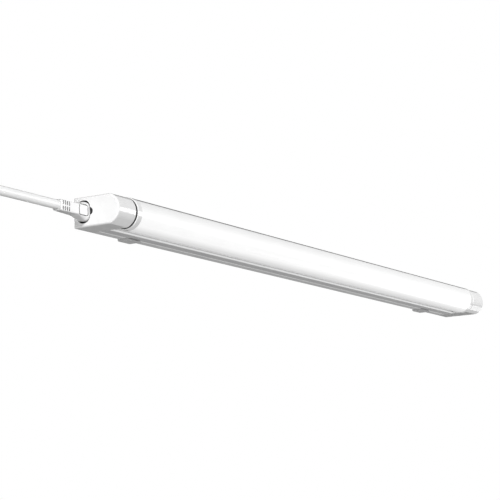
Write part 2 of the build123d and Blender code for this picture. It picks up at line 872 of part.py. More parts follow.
# Coil: half turns that close in on the wall side, climb one layer, and open out again on the room side
coil_pitch = cord_diameter + coil_gap
coil_start = Vector(*cord_route[-1])
coil_entry = coil_start - Vector(0, 0, cord_diameter)
radii_in = [coil_radius - turn * coil_pitch / 2 for turn in range(coil_half_turns_in)]
climb_radius = coil_radius - coil_half_turns_in * coil_pitch / 2
radii_out = [climb_radius + (turn + 1) * coil_pitch / 2 for turn in range(coil_half_turns_out)]
climb_drop = sqrt(climb_radius**2 + coil_pitch**2 / 4)
with BuildPart() as lead_coil:
    with BuildLine() as coil_path:
        Line(coil_start, coil_entry)
        point = coil_entry
        heading = -1
        for radius in radii_in:
            across = point + Vector(2 * radius * heading, 0, 0)
            TangentArc(point, across, tangent=(0, 0, heading))
            point = across
            heading = -heading
        middle = point + Vector(climb_radius * heading, -coil_pitch / 2, climb_drop * heading)
        across = point + Vector(2 * climb_radius * heading, -coil_pitch, 0)
        TangentArc(point, middle, tangent=(0, 0, heading))
        TangentArc(middle, across, tangent=(climb_radius * heading, -coil_pitch / 2, 0))
        tie_inner_x = across.X
        point = across
        heading = -heading
        for radius in radii_out:
            across = point + Vector(2 * radius * heading, 0, 0)
            TangentArc(point, across, tangent=(0, 0, heading))
            point = across
            heading = -heading
        coil_end = point - Vector(0, 0, coil_tail)
        Line(point, coil_end)
    with BuildSketch(Plane(origin=coil_start, z_dir=(0, 0, -1))):
        Circle(cord_diameter / 2)
    sweep()
coil_edges = coil_path.edges()
coil_length = sum(edge.length for edge in coil_edges)


def least_gap(edges, step, diameter):
    # Smallest clear gap between stretches of the tube that lie more than two diameters apart along it
    stations = []
    travelled = 0
    for edge in edges:
        count = max(1, round(edge.length / step))
        for index in range(count):
            stations.append((travelled + edge.length * index / count, edge @ (index / count)))
        travelled += edge.length
    least = travelled
    for index, (first, near_point) in enumerate(stations):
        for second, far_point in stations[index + 1 :]:
            if second - first > 2 * diameter:
                least = min(least, (far_point - near_point).length)
    return least - diameter


print("coil length", round(coil_length, 1))
print("coil volume over section times length", round(lead_coil.part.volume / cord_section / coil_length, 4))
print("coil least gap to itself", round(least_gap(coil_edges, cord_diameter / 2, cord_diameter), 2))
write(lead_coil, "lead_coil")

# Tie round the turns, on the side of the coil away from the light
tie_outer_x = coil_entry.X - 2 * coil_radius
tie_x = (tie_outer_x + tie_inner_x) / 2
tie_span = tie_inner_x - tie_outer_x + cord_diameter + 2 * tie_clearance
tie_depth = coil_pitch + cord_diameter + 2 * tie_clearance
with BuildPart() as coil_tie:
    with BuildSketch(Plane.XY.offset(coil_entry.Z - tie_width / 2)):
        with Locations((tie_x, cord_y - coil_pitch / 2)):
            RectangleRounded(
                tie_span + 2 * tie_thickness,
                tie_depth + 2 * tie_thickness,
                cord_diameter / 2 + tie_thickness,
            )
            RectangleRounded(tie_span, tie_depth, cord_diameter / 2, mode=Mode.SUBTRACT)
    extrude(amount=tie_width)
write(coil_tie, "coil_tie")

# Grooved strain relief, body and pins of the mains plug, hanging below the coil
relief_mouth = cord_diameter / 2 + relief_groove_depth
relief_taper = (relief_radius - relief_mouth) / relief_length
with BuildPart() as mains_relief:
    with BuildSketch(Plane(origin=coil_end, z_dir=(0, 0, -1))):
        Circle(relief_mouth)
    with BuildSketch(Plane(origin=coil_end - Vector(0, 0, relief_length), z_dir=(0, 0, -1))):
        Circle(relief_radius)
    loft()
    for groove in range(relief_groove_count):
        drop = relief_groove_start + groove * relief_groove_pitch
        with BuildSketch(Plane(origin=coil_end - Vector(0, 0, drop), z_dir=(0, 0, -1))):
            Circle(relief_radius)
            Circle(relief_mouth + relief_taper * drop - relief_groove_depth, mode=Mode.SUBTRACT)
        extrude(amount=relief_groove_width, mode=Mode.SUBTRACT)
write(mains_relief, "mains_relief")

mains_top = coil_end - Vector(0, 0, relief_length)
mains_base = mains_top - Vector(0, 0, mains_length)
with BuildPart() as mains_plug:
    with BuildSketch(Plane(origin=mains_top, x_dir=(1, 0, 0), z_dir=(0, -1, 0))):
        with BuildLine():
            Polyline(
                (0, 0),
                (mains_neck_width / 2, 0),
                (mains_width / 2, -mains_shoulder),
                (mains_width / 2, -mains_length),
                (0, -mains_length),
                close=True,
            )
        make_face()
        mirror(about=Plane.YZ)
    extrude(amount=mains_thickness / 2, both=True)
    fillet(mains_plug.edges().filter_by(Axis.Y), mains_edge)
    fillet(mains_plug.edges().filter_by(Axis.Y, reverse=True), mains_rim)
    with BuildSketch(Plane(origin=mains_base, x_dir=(1, 0, 0), z_dir=(0, 0, 1))):
        with GridLocations(mains_pin_spacing, 0, 2, 1):
            Circle(mains_pin_radius)
    extrude(amount=mains_pin_seat, mode=Mode.SUBTRACT)
write(mains_plug, "mains_plug")

with BuildPart() as mains_pins:
    pin_root = mains_base + Vector(0, 0, mains_pin_seat)
    with BuildSketch(Plane(origin=pin_root, x_dir=(1, 0, 0), z_dir=(0, 0, -1))):
        with GridLocations(mains_pin_spacing, 0, 2, 1):
            Circle(mains_pin_radius)
    extrude(amount=mains_pin_length + mains_pin_seat)
    fillet(mains_pins.edges().group_by(Axis.Z)[0], mains_pin_edge)
write(mains_pins, "mains_pins")

print("lead length", round(cord_length + coil_length, 1))
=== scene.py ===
import json
import math

import bmesh
import bpy
from mathutils import Matrix, Vector


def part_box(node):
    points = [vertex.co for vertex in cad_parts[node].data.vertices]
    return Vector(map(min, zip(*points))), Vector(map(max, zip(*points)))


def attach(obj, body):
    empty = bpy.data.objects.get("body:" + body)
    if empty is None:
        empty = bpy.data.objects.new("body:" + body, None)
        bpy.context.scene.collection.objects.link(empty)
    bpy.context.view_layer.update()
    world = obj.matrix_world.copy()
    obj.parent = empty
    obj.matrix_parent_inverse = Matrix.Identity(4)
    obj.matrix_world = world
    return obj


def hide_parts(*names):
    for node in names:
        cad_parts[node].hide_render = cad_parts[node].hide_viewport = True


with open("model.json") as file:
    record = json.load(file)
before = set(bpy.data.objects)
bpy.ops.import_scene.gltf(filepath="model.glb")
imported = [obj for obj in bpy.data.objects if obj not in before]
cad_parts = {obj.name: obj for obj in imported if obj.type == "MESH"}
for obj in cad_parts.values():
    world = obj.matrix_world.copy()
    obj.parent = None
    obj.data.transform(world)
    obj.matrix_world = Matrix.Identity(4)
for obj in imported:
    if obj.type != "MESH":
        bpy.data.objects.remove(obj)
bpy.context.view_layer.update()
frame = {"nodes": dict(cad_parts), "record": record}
nodes = frame["nodes"]
scene = bpy.context.scene
scene.view_settings.view_transform = "Standard"
print("frame loaded,", len(nodes), "nodes")

# camera, fitted to the straight edges and the end face of the light
photoCamera = {
    "place": (-1.33894, -0.79241, -0.25949),
    "yaw": 58.304,  # degrees from +Y towards +X
    "pitch": 9.997,
    "roll": -1.404,
    "lens": 140.66,
    "sensor": 36.0,
    "farClip": 30.0,
}


def makeCamera(look):
    yaw, pitch, roll = (math.radians(look[key]) for key in ("yaw", "pitch", "roll"))
    ahead = Vector((math.sin(yaw) * math.cos(pitch), math.cos(yaw) * math.cos(pitch), math.sin(pitch)))
    level = Vector((math.cos(yaw), -math.sin(yaw), 0))
    upright = level.cross(ahead)
    right = level * math.cos(roll) + upright * math.sin(roll)
    up = upright * math.cos(roll) - level * math.sin(roll)
    data = bpy.data.cameras.new("photoCamera")
    data.lens = look["lens"]
    data.sensor_width = look["sensor"]
    data.sensor_fit = "HORIZONTAL"
    data.clip_end = look["farClip"]
    camera = bpy.data.objects.new("photoCamera", data)
    scene.collection.objects.link(camera)
    turn = Matrix((right, up, -ahead)).transposed().to_4x4()
    camera.matrix_world = Matrix.Translation(look["place"]) @ turn
    scene.camera = camera


makeCamera(photoCamera)
print("camera placed")


# finishes
def freshFinish(name):
    finish = bpy.data.materials.new(name)
    finish.use_nodes = True
    tree = finish.node_tree
    tree.nodes.clear()
    out = tree.nodes.new("ShaderNodeOutputMaterial")
    shader = tree.nodes.new("ShaderNodeBsdfPrincipled")
    tree.links.new(shader.outputs["BSDF"], out.inputs["Surface"])
    return finish, tree, shader


def spotOf(tree, stretch=(1, 1, 1)):
    coords = tree.nodes.new("ShaderNodeTexCoord")
    mapping = tree.nodes.new("ShaderNodeMapping")
    mapping.inputs["Scale"].default_value = stretch
    tree.links.new(coords.outputs["Object"], mapping.inputs["Vector"])
    return mapping.outputs["Vector"]


def noiseOf(tree, spot, scale, detail=3.0, rough=0.5):
    noise = tree.nodes.new("ShaderNodeTexNoise")
    noise.inputs["Scale"].default_value = scale
    noise.inputs["Detail"].default_value = detail
    noise.inputs["Roughness"].default_value = rough
    tree.links.new(spot, noise.inputs["Vector"])
    return noise.outputs["Fac"]


def rampOf(tree, factor, low, high, start=0.35, end=0.65):
    ramp = tree.nodes.new("ShaderNodeValToRGB")
    ramp.color_ramp.elements[0].position = start
    ramp.color_ramp.elements[1].position = end
    ramp.color_ramp.elements[0].color = (*low, 1)
    ramp.color_ramp.elements[1].color = (*high, 1)
    tree.links.new(factor, ramp.inputs["Fac"])
    return ramp.outputs["Color"]


def rangeOf(tree, factor, low, high, start=0.3, end=0.7):
    span = tree.nodes.new("ShaderNodeMapRange")
    span.inputs["From Min"].default_value = start
    span.inputs["From Max"].default_value = end
    span.inputs["To Min"].default_value = low
    span.inputs["To Max"].default_value = high
    tree.links.new(factor, span.inputs["Value"])
    return span.outputs["Result"]


def bumpOf(tree, shader, height, strength, distance):
    bump = tree.nodes.new("ShaderNodeBump")
    bump.inputs["Strength"].default_value = strength
    bump.inputs["Distance"].default_value = distance
    tree.links.new(height, bump.inputs["Height"])
    tree.links.new(bump.outputs["Normal"], shader.inputs["Normal"])


def feed(tree, socket, value):  # another node's output, or a plain value
    if isinstance(value, bpy.types.NodeSocket):
        tree.links.new(value, socket)
    else:
        socket.default_value = value


def mathOf(tree, kind, *terms):
    node = tree.nodes.new("ShaderNodeMath")
    node.operation = kind
    for socket, term in zip(node.inputs, terms):
        feed(tree, socket, term)
    return node.outputs[0]


def blendOf(tree, factor, low, high):
    blend = tree.nodes.new("ShaderNodeMix")
    blend.data_type = "RGBA"
    tree.links.new(factor, blend.inputs["Factor"])
    feed(tree, blend.inputs["A"], low)
    feed(tree, blend.inputs["B"], high)
    return blend.outputs["Result"]


def glowOf(tree, look):  # by the angle round the tube, strongest straight in front of the LEDs
    offset = tree.nodes.new("ShaderNodeVectorMath")
    offset.operation = "SUBTRACT"
    feed(tree, offset.inputs[0], spotOf(tree))
    feed(tree, offset.inputs[1], look["axis"])
    parts = tree.nodes.new("ShaderNodeSeparateXYZ")
    tree.links.new(offset.outputs["Vector"], parts.inputs[0])
    forward = mathOf(tree, "MULTIPLY", parts.outputs["Y"], -1)
    angle = mathOf(tree, "ARCTAN2", parts.outputs["Z"], forward)
    place = mathOf(tree, "MULTIPLY_ADD", angle, 1 / (2 * math.pi), 0.5)  # a whole turn is nought to one
    ramp = tree.nodes.new("ShaderNodeValToRGB")
    stops = ramp.color_ramp.elements
    while len(stops) < len(look["glowStops"]):
        stops.new(1.0)
    for stop, (degrees, strength) in zip(stops, look["glowStops"]):
        stop.position = degrees / 360 + 0.5
        stop.color = (strength, strength, strength, 1)
    tree.links.new(place, ramp.inputs["Fac"])
    return ramp.outputs["Color"]


def edgesOf(tree):  # one on the slanting long edges of an extruded profile, nought on its flats; the mask of the painted edge light
    coords = tree.nodes.new("ShaderNodeTexCoord")
    parts = tree.nodes.new("ShaderNodeSeparateXYZ")
    tree.links.new(coords.outputs["Normal"], parts.inputs[0])
    slant = mathOf(tree, "MULTIPLY", parts.outputs["Y"], parts.outputs["Z"])
    slant = mathOf(tree, "ABSOLUTE", slant)
    return rangeOf(tree, mathOf(tree, "MULTIPLY", slant, 2), 0, 1)  # doubled, as it is a half at 45 degrees


def creasesOf(tree, reach):  # one on open faces, less down in narrow slots and grooves; the mask of the painted shade in them
    crease = tree.nodes.new("ShaderNodeAmbientOcclusion")
    crease.only_local = True
    crease.inputs["Distance"].default_value = reach
    return rangeOf(tree, crease.outputs["AO"], 0, 1)


mouldLook = {  # the same in every finish
    "grainDetail": 2.0,
    "grainRough": 0.6,
    "softRadius": (0.002, 0.002, 0.002),
}


def mouldedFinish(name, look):
    finish, tree, shader = freshFinish(name)
    spot = spotOf(tree, look.get("stretch", (1, 1, 1)))
    cloud = noiseOf(tree, spot, look["mottle"])
    tint = rampOf(tree, cloud, *look["tint"])
    # painted light: paler on the slanting long edges, where light catches them
    if "paintedEdgeLight" in look:
        tint = blendOf(tree, edgesOf(tree), tint, (*look["paintedEdgeLight"], 1))
    # painted shade: darker down in slots and grooves, where shade falls
    if "creaseShade" in look:
        tint = blendOf(tree, creasesOf(tree, look["creaseShadeReach"]), (*look["creaseShade"], 1), tint)
    tree.links.new(tint, shader.inputs["Base Color"])
    tree.links.new(rangeOf(tree, cloud, *look["rough"]), shader.inputs["Roughness"])
    grain = noiseOf(tree, spot, look["grain"], mouldLook["grainDetail"], mouldLook["grainRough"])
    bumpOf(tree, shader, grain, look["grainStrength"], look["grainDepth"])
    shader.inputs["Metallic"].default_value = look.get("metal", 0.0)
    shader.inputs["Specular IOR Level"].default_value = look.get("specular", 0.5)
    shader.inputs["Subsurface Weight"].default_value = look.get("depth", 0.0)
    shader.inputs["Subsurface Radius"].default_value = mouldLook["softRadius"]
    if "glow" in look:
        shader.inputs["Emission Color"].default_value = (*look["glow"], 1)
        tree.links.new(glowOf(tree, look), shader.inputs["Emission Strength"])
    return finish


shellWhite = {  # glossy end blocks and collars
    "tint": ((0.70, 0.70, 0.70), (0.72, 0.72, 0.72)),
    "mottle": 60,
    "rough": (0.08, 0.12),
    "grain": 1500,
    "grainStrength": 0.01,
    "grainDepth": 0.0001,
    "specular": 0.5,
}
railWhite = {  # powder coat on the extruded rail, with painted light along its slanting long edges
    # painted shade: the pale coat drawn mid grey, as the rail sits in shade under the tube
    "tint": ((0.44, 0.44, 0.445), (0.47, 0.47, 0.47)),
    "paintedEdgeLight": (0.84, 0.84, 0.84),
    "mottle": 40,
    "rough": (0.42, 0.52),
    "grain": 900,
    "grainStrength": 0.10,
    "grainDepth": 0.0001,
    "specular": 0.35,
}
clipShadedGrey = {  # nylon of the mounting clips, its pale colour drawn mid grey as painted shade, since the clips sit in shade under the light
    "tint": ((0.41, 0.41, 0.415), (0.45, 0.45, 0.45)),
    "mottle": 80,
    "rough": (0.50, 0.60),
    "grain": 700,
    "grainStrength": 0.15,
    "grainDepth": 0.00015,
    "specular": 0.3,
}
trayWhite = {  # grained tray, with painted light along its slanting long edges
    # painted shade: the pale tray drawn mid grey, as it sits in shade under the tube
    "tint": ((0.49, 0.49, 0.495), (0.53, 0.53, 0.53)),
    "paintedEdgeLight": (0.66, 0.66, 0.66),
    "mottle": 50,
    "rough": (0.50, 0.60),
    "grain": 700,
    "grainStrength": 0.18,
    "grainDepth": 0.00015,
    "specular": 0.3,
}
opalGlow = {  # opal tube, brightest in front of its LEDs
    "tint": ((0.52, 0.52, 0.52), (0.54, 0.54, 0.54)),
    "mottle": 25,
    "rough": (0.14, 0.20),
    "grain": 600,
    "grainStrength": 0.02,
    "grainDepth": 0.0001,
    "specular": 0.5,
    "glow": (1.0, 1.0, 1.0),
    "axis": frame["record"]["behaviour"]["joints"][0]["pos_m"],
    "glowStops": [  # degrees above straight out, strength; the LEDs point 52 degrees below
        (-156, 0.27),
        (-108, 0.39),
        (-75, 0.31),
        (-48, 0.54),
        (0, 0.41),
        (24, 0.27),
        (52, 0.15),
    ],
}
leadWhite = {  # soft vinyl of the cord and its plugs, with painted shade in its slots and grooves
    "tint": ((0.80, 0.80, 0.80), (0.83, 0.83, 0.83)),
    "mottle": 90,
    "rough": (0.16, 0.24),
    "grain": 1100,
    "grainStrength": 0.06,
    "grainDepth": 0.0001,
    "specular": 0.5,
    # painted shade in the slots and grooves, and how far it reaches
    "creaseShade": (0.42, 0.42, 0.42),
    "creaseShadeReach": 0.002,
}
ringRubber = {
    "tint": ((0.012, 0.012, 0.012), (0.03, 0.03, 0.03)),
    "mottle": 300,
    "rough": (0.6, 0.75),
    "grain": 2500,
    "grainStrength": 0.3,
    "grainDepth": 0.0001,
    "specular": 0.2,
}
socketBlack = {
    "tint": ((0.015, 0.015, 0.016), (0.03, 0.03, 0.03)),
    "mottle": 200,
    "rough": (0.45, 0.55),
    "grain": 1800,
    "grainStrength": 0.2,
    "grainDepth": 0.0001,
    "specular": 0.3,
}
strapBlack = {
    "tint": ((0.02, 0.02, 0.021), (0.05, 0.05, 0.05)),
    "mottle": 1200,
    "rough": (0.75, 0.9),
    "grain": 3000,
    "grainStrength": 0.6,
    "grainDepth": 0.0003,
    "specular": 0.15,
}
contactBrass = {
    "tint": ((0.72, 0.53, 0.24), (0.80, 0.62, 0.32)),
    "mottle": 400,
    "rough": (0.22, 0.34),
    "grain": 2500,
    "grainStrength": 0.08,
    "grainDepth": 0.00005,
    "metal": 1.0,
}
pinNickel = {
    "tint": ((0.70, 0.69, 0.66), (0.78, 0.77, 0.74)),
    "mottle": 300,
    "rough": (0.16, 0.26),
    "grain": 2000,
    "grainStrength": 0.06,
    "grainDepth": 0.00005,
    "metal": 1.0,
    "stretch": (1, 1, 0.1),
}
screwZinc = {
    "tint": ((0.52, 0.52, 0.53), (0.62, 0.62, 0.63)),
    "mottle": 500,
    "rough": (0.28, 0.40),
    "grain": 2500,
    "grainStrength": 0.12,
    "grainDepth": 0.00005,
    "metal": 1.0,
}
sinkAluminium = {  # grey anodised, with drawn lines along the profile; its dark tone is partly painted shade, giving the dark line along the tube's top edge
    "tint": ((0.09, 0.09, 0.093), (0.13, 0.13, 0.133)),
    "mottle": 220,
    "rough": (0.40, 0.52),
    "grain": 1600,
    "grainStrength": 0.15,
    "grainDepth": 0.00006,
    "specular": 0.3,
    "stretch": (0.03, 1, 1),
}
bushAcetal = {
    "tint": ((0.62, 0.62, 0.60), (0.66, 0.66, 0.64)),
    "mottle": 200,
    "rough": (0.35, 0.45),
    "grain": 1500,
    "grainStrength": 0.08,
    "grainDepth": 0.0001,
}
boardGreen = {
    "tint": ((0.012, 0.07, 0.025), (0.025, 0.13, 0.05)),
    "mottle": 350,
    "rough": (0.25, 0.4),
    "grain": 900,
    "grainStrength": 0.2,
    "grainDepth": 0.0001,
}
boardWhite = {
    "tint": ((0.80, 0.80, 0.80), (0.86, 0.86, 0.86)),
    "mottle": 300,
    "rough": (0.3, 0.4),
    "grain": 1200,
    "grainStrength": 0.1,
    "grainDepth": 0.0001,
}
phosphorYellow = {
    "tint": ((0.75, 0.58, 0.10), (0.82, 0.68, 0.18)),
    "mottle": 900,
    "rough": (0.2, 0.35),
    "grain": 3000,
    "grainStrength": 0.1,
    "grainDepth": 0.00005,
    "depth": 0.2,
}
coreGrey = {
    "tint": ((0.03, 0.028, 0.028), (0.07, 0.065, 0.06)),
    "mottle": 500,
    "rough": (0.5, 0.7),
    "grain": 1500,
    "grainStrength": 0.3,
    "grainDepth": 0.0001,
}
chipBlack = {
    "tint": ((0.012, 0.012, 0.012), (0.025, 0.025, 0.025)),
    "mottle": 600,
    "rough": (0.45, 0.6),
    "grain": 2500,
    "grainStrength": 0.2,
    "grainDepth": 0.00008,
}
sleeveBlue = {
    "tint": ((0.010, 0.012, 0.03), (0.02, 0.024, 0.05)),
    "mottle": 400,
    "rough": (0.2, 0.3),
    "grain": 800,
    "grainStrength": 0.1,
    "grainDepth": 0.0001,
}
wireIvory = {
    "tint": ((0.72, 0.71, 0.68), (0.78, 0.77, 0.74)),
    "mottle": 400,
    "rough": (0.35, 0.45),
    "grain": 2000,
    "grainStrength": 0.08,
    "grainDepth": 0.00008,
}

looks = {
    "shellWhite": shellWhite,
    "railWhite": railWhite,
    "trayWhite": trayWhite,
    "clipShadedGrey": clipShadedGrey,
    "opalGlow": opalGlow,
    "leadWhite": leadWhite,
    "ringRubber": ringRubber,
    "socketBlack": socketBlack,
    "strapBlack": strapBlack,
    "contactBrass": contactBrass,
    "pinNickel": pinNickel,
    "screwZinc": screwZinc,
    "sinkAluminium": sinkAluminium,
    "bushAcetal": bushAcetal,
    "boardGreen": boardGreen,
    "boardWhite": boardWhite,
    "phosphorYellow": phosphorYellow,
    "coreGrey": coreGrey,
    "chipBlack": chipBlack,
    "sleeveBlue": sleeveBlue,
    "wireIvory": wireIvory,
}
finishes = {title: mouldedFinish(title, look) for title, look in looks.items()}

finishOf = {
    "shellWhite": [
        "near_end_block",
        "far_end_block",
        "near_inner_plate",
        "far_inner_plate",
        "near_tube_collar",
        "far_tube_collar",
    ],
    "railWhite": ["rail_cover"],
    "trayWhite": ["rear_tray"],
    "clipShadedGrey": ["left_mounting_clip", "right_mounting_clip"],
    "opalGlow": ["diffuser"],
    "leadWhite": ["lead_plug", "mains_plug", "mains_relief", "lead_cord", "lead_coil"],
    "ringRubber": ["near_friction_ring", "far_friction_ring"],
    "socketBlack": ["inlet_insert", "outlet_insert"],
    "strapBlack": ["coil_tie"],
    "contactBrass": ["inlet_pins", "outlet_contacts", "plug_contacts"],
    "pinNickel": ["mains_pins"],
    "screwZinc": ["tray_screws"],
    "sinkAluminium": ["heat_sink"],
    "bushAcetal": ["near_bush", "far_bush", "driver_connector", "led_connector"],
    "boardGreen": ["driver_board"],
    "boardWhite": ["led_board"],
    "phosphorYellow": ["leds"],
    "coreGrey": ["driver_transformer", "driver_choke"],
    "chipBlack": ["driver_chips"],
    "sleeveBlue": ["driver_capacitor"],
    "wireIvory": ["supply_wires", "driver_leads", "led_leads"],
}


def paint(piece, title):
    piece.data.materials.clear()
    piece.data.materials.append(finishes[title])


for title, names in finishOf.items():
    for name in names:
        paint(nodes[name], title)
print("finishes on", sum(len(names) for names in finishOf.values()), "nodes")

# power lead: the route of the solid, then its coil as tangent corners of each half turn
leadCord = {
    "route": [
        (-0.3171, -0.0105, 0.0003),
        (-0.3695, -0.0105, 0.0003),  # keeps the long run straight up to its bend
        (-0.400, -0.0105, 0),
        (-0.428, -0.0105, -0.012),
        (-0.446, -0.0105, -0.038),
        (-0.446, -0.0105, -0.068),
    ],
    "diameter": 0.0065,
    "length": 1.6084,
    "turnStep": 0.0071,
    "coilRadius": 0.048,
    "coilHeight": -0.0745,
    "halfTurnsIn": 6,
    "halfTurnsOut": 5,
    "cornersPerHalfTurn": 8,
    "tail": 0.020,
    "smoothness": 8,
    "roundness": 6,
}


def coilCorners(look):
    corners = []
    x, y, _ = look["route"][-1]
    z = look["coilHeight"]
    step = look["turnStep"]
    inner = look["coilRadius"] - look["halfTurnsIn"] * step / 2
    radii = [look["coilRadius"] - turn * step / 2 for turn in range(look["halfTurnsIn"])]
    radii += [inner]  # this half turn climbs to the second layer
    radii += [inner + (turn + 1) * step / 2 for turn in range(look["halfTurnsOut"])]
    count = look["cornersPerHalfTurn"]
    heading = -1
    for turn, radius in enumerate(radii):
        climb = step if turn == look["halfTurnsIn"] else 0
        begin = 0 if heading < 0 else math.pi
        centre = x + radius * heading
        for corner in range(count):
            angle = begin - (corner + 0.5) * math.pi / count
            reach = radius / math.cos(math.pi / (2 * count))
            rise = climb * (corner + 0.5) / count
            corners.append((centre + reach * math.cos(angle), y - rise, z + reach * math.sin(angle)))
        x += 2 * radius * heading
        y -= climb
        heading = -heading
    corners.append((x, y, z))
    corners.append((x, y, z - look["tail"]))
    return corners


def layCord(look):
    points = look["route"] + coilCorners(look)
    data = bpy.data.curves.new("powerCord", "CURVE")
    data.dimensions = "3D"
    spline = data.splines.new("NURBS")
    spline.points.add(len(points) - 1)
    for point, place in zip(spline.points, points):
        point.co = (*place, 1)
    spline.order_u = 3
    spline.use_endpoint_u = True
    data.resolution_u = look["smoothness"]
    data.bevel_depth = look["diameter"] / 2
    data.bevel_resolution = look["roundness"]
    data.use_fill_caps = True
    cord = bpy.data.objects.new("powerCord", data)
    scene.collection.objects.link(cord)
    paint(cord, "leadWhite")
    return cord


tieStrap = {  # hook-and-loop strap round the coil's turns, its free end lapped on the room side
    "thick": 0.0011,
    "lift": 0.0012,  # of the free end, off the layer below it
    "innerStart": 0.006,  # along X from the middle of the bundle
    "lapStart": 0.009,
    "lapEnd": -0.008,
    "lapSteps": 16,
    "cornerSteps": 8,
    "widthSteps": 4,
    "tipLength": 0.003,
    "tipShare": 0.4,  # width of the very tip as a share of the strap's
    "edge": 0.0003,
    "edgeSteps": 2,
}


def tieLine(look, low, high):  # middle of the strap's thickness, once round and over its own start
    half = Vector((high[0] - low[0], high[1] - low[1])) / 2 - Vector((look["thick"], look["thick"])) / 2
    centre = Vector((high[0] + low[0], high[1] + low[1])) / 2
    corner = (leadCord["diameter"] + look["thick"]) / 2
    front = centre.y - half.y
    line = [Vector((centre.x + look["innerStart"], front))]
    for quarter, (across, along) in enumerate(((-1, -1), (-1, 1), (1, 1), (1, -1))):
        middle = centre + Vector((across * (half.x - corner), along * (half.y - corner)))
        for step in range(look["cornerSteps"] + 1):
            angle = math.pi * (1.5 - quarter / 2 - step / (2 * look["cornerSteps"]))
            line.append(middle + corner * Vector((math.cos(angle), math.sin(angle))))
    line.append(Vector((centre.x + look["lapStart"], front)))
    over = look["innerStart"] - look["lapEnd"]
    for step in range(look["lapSteps"] + 1):
        along = centre.x + look["innerStart"] - over * step / look["lapSteps"]
        line.append(Vector((along, front - look["lift"])))
    return line


def tieWidth(look, left):  # share of the strap's width, this far from its tip
    if left >= look["tipLength"]:
        return 1.0
    rise = math.sqrt(1 - (1 - left / look["tipLength"]) ** 2)
    return look["tipShare"] + (1 - look["tipShare"]) * rise


def makeTie(look):
    low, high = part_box("coil_tie")
    line = tieLine(look, low, high)
    runs = [0.0]
    for before, after in zip(line, line[1:]):
        runs.append(runs[-1] + (after - before).length)
    middle, half = (high[2] + low[2]) / 2, (high[2] - low[2]) / 2
    shares = [2 * side / look["widthSteps"] - 1 for side in range(look["widthSteps"] + 1)]
    tie = bmesh.new()
    rows = []
    for spot, run in zip(line, runs):
        reach = half * tieWidth(look, runs[-1] - run)
        rows.append([tie.verts.new((*spot, middle + reach * share)) for share in shares])
    for first, second in zip(rows, rows[1:]):
        for corners in zip(first, first[1:], second[1:], second):
            tie.faces.new(corners)
    bmesh.ops.recalc_face_normals(tie, faces=tie.faces)
    mesh = bpy.data.meshes.new("tieStrap")
    tie.to_mesh(mesh)
    tie.free()
    piece = bpy.data.objects.new("tieStrap", mesh)
    scene.collection.objects.link(piece)
    skin = piece.modifiers.new("thickness", "SOLIDIFY")
    skin.thickness = look["thick"]
    skin.offset = 0
    soft = piece.modifiers.new("softEdge", "BEVEL")
    soft.width = look["edge"]
    soft.segments = look["edgeSteps"]
    paint(piece, "strapBlack")
    return piece


powerCord = layCord(leadCord)
strap = makeTie(tieStrap)
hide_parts("coil_tie")
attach(strap, "lead")
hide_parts("lead_cord", "lead_coil")
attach(powerCord, "lead")
print("cord laid and tied")

crossScrew = {  # countersunk screws in the back of the tray, with a cross recess
    "sides": 40,
    "headRadius": 0.0027,
    "shankRadius": 0.0014,
    "length": 0.006,
    "rim": 0.0002,
    "crossReach": 0.0015,
    "crossWidth": 0.0007,
    "crossDepth": 0.0012,
    "crossFloor": 0.5,  # size of the recess's floor as a share of its mouth
}


def crossOutline(look, share):
    reach, half = look["crossReach"] * share, look["crossWidth"] * share / 2
    outline = []
    for quarter in range(4):
        turn = Matrix.Rotation(quarter * math.pi / 2, 2)
        for x, z in ((reach, -half), (reach, half), (half, half)):
            outline.append(turn @ Vector((x, z)))
    return outline


def addScrew(mesh, look, place):  # head looks along +Y
    cone = look["headRadius"] - look["shankRadius"]
    profile = [
        (look["headRadius"] - look["rim"], 0.0),
        (look["headRadius"], look["rim"] / 2),
        (look["shankRadius"], cone),
        (look["shankRadius"], look["length"]),
    ]
    rings = []
    for radius, drop in profile:
        ring = []
        for side in range(look["sides"]):
            angle = 2 * math.pi * side / look["sides"]
            spot = Vector((radius * math.cos(angle), -drop, radius * math.sin(angle)))
            ring.append(mesh.verts.new(place + spot))
        rings.append(ring)
    for upper, lower in zip(rings, rings[1:]):
        for side in range(look["sides"]):
            after = (side + 1) % look["sides"]
            mesh.faces.new((upper[side], upper[after], lower[after], lower[side]))
    mesh.faces.new(rings[-1])
    mouth = [mesh.verts.new(place + Vector((x, 0, z))) for x, z in crossOutline(look, 1)]
    depth = -look["crossDepth"]
    base = [
        mesh.verts.new(place + Vector((x, depth, z)))
        for x, z in crossOutline(look, look["crossFloor"])
    ]
    for corner in range(len(mouth)):
        after = (corner + 1) % len(mouth)
        mesh.faces.new((mouth[corner], mouth[after], base[after], base[corner]))
    mesh.faces.new(base)
    rim = [mesh.edges.get((rings[0][side], rings[0][side - 1])) for side in range(look["sides"])]
    rim += [mesh.edges.get((mouth[corner], mouth[corner - 1])) for corner in range(len(mouth))]
    bmesh.ops.triangle_fill(mesh, use_beauty=True, use_dissolve=False, edges=rim)


def makeScrews(look):
    low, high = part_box("tray_screws")
    mesh = bmesh.new()
    for x in (low[0] + look["headRadius"], high[0] - look["headRadius"]):
        addScrew(mesh, look, Vector((x, high[1], (low[2] + high[2]) / 2)))
    bmesh.ops.recalc_face_normals(mesh, faces=mesh.faces)
    data = bpy.data.meshes.new("crossScrews")
    mesh.to_mesh(data)
    mesh.free()
    piece = bpy.data.objects.new("crossScrews", data)
    scene.collection.objects.link(piece)
    paint(piece, "screwZinc")
    return piece


screws = makeScrews(crossScrew)
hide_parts("tray_screws")
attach(screws, "base")
print("screws set")


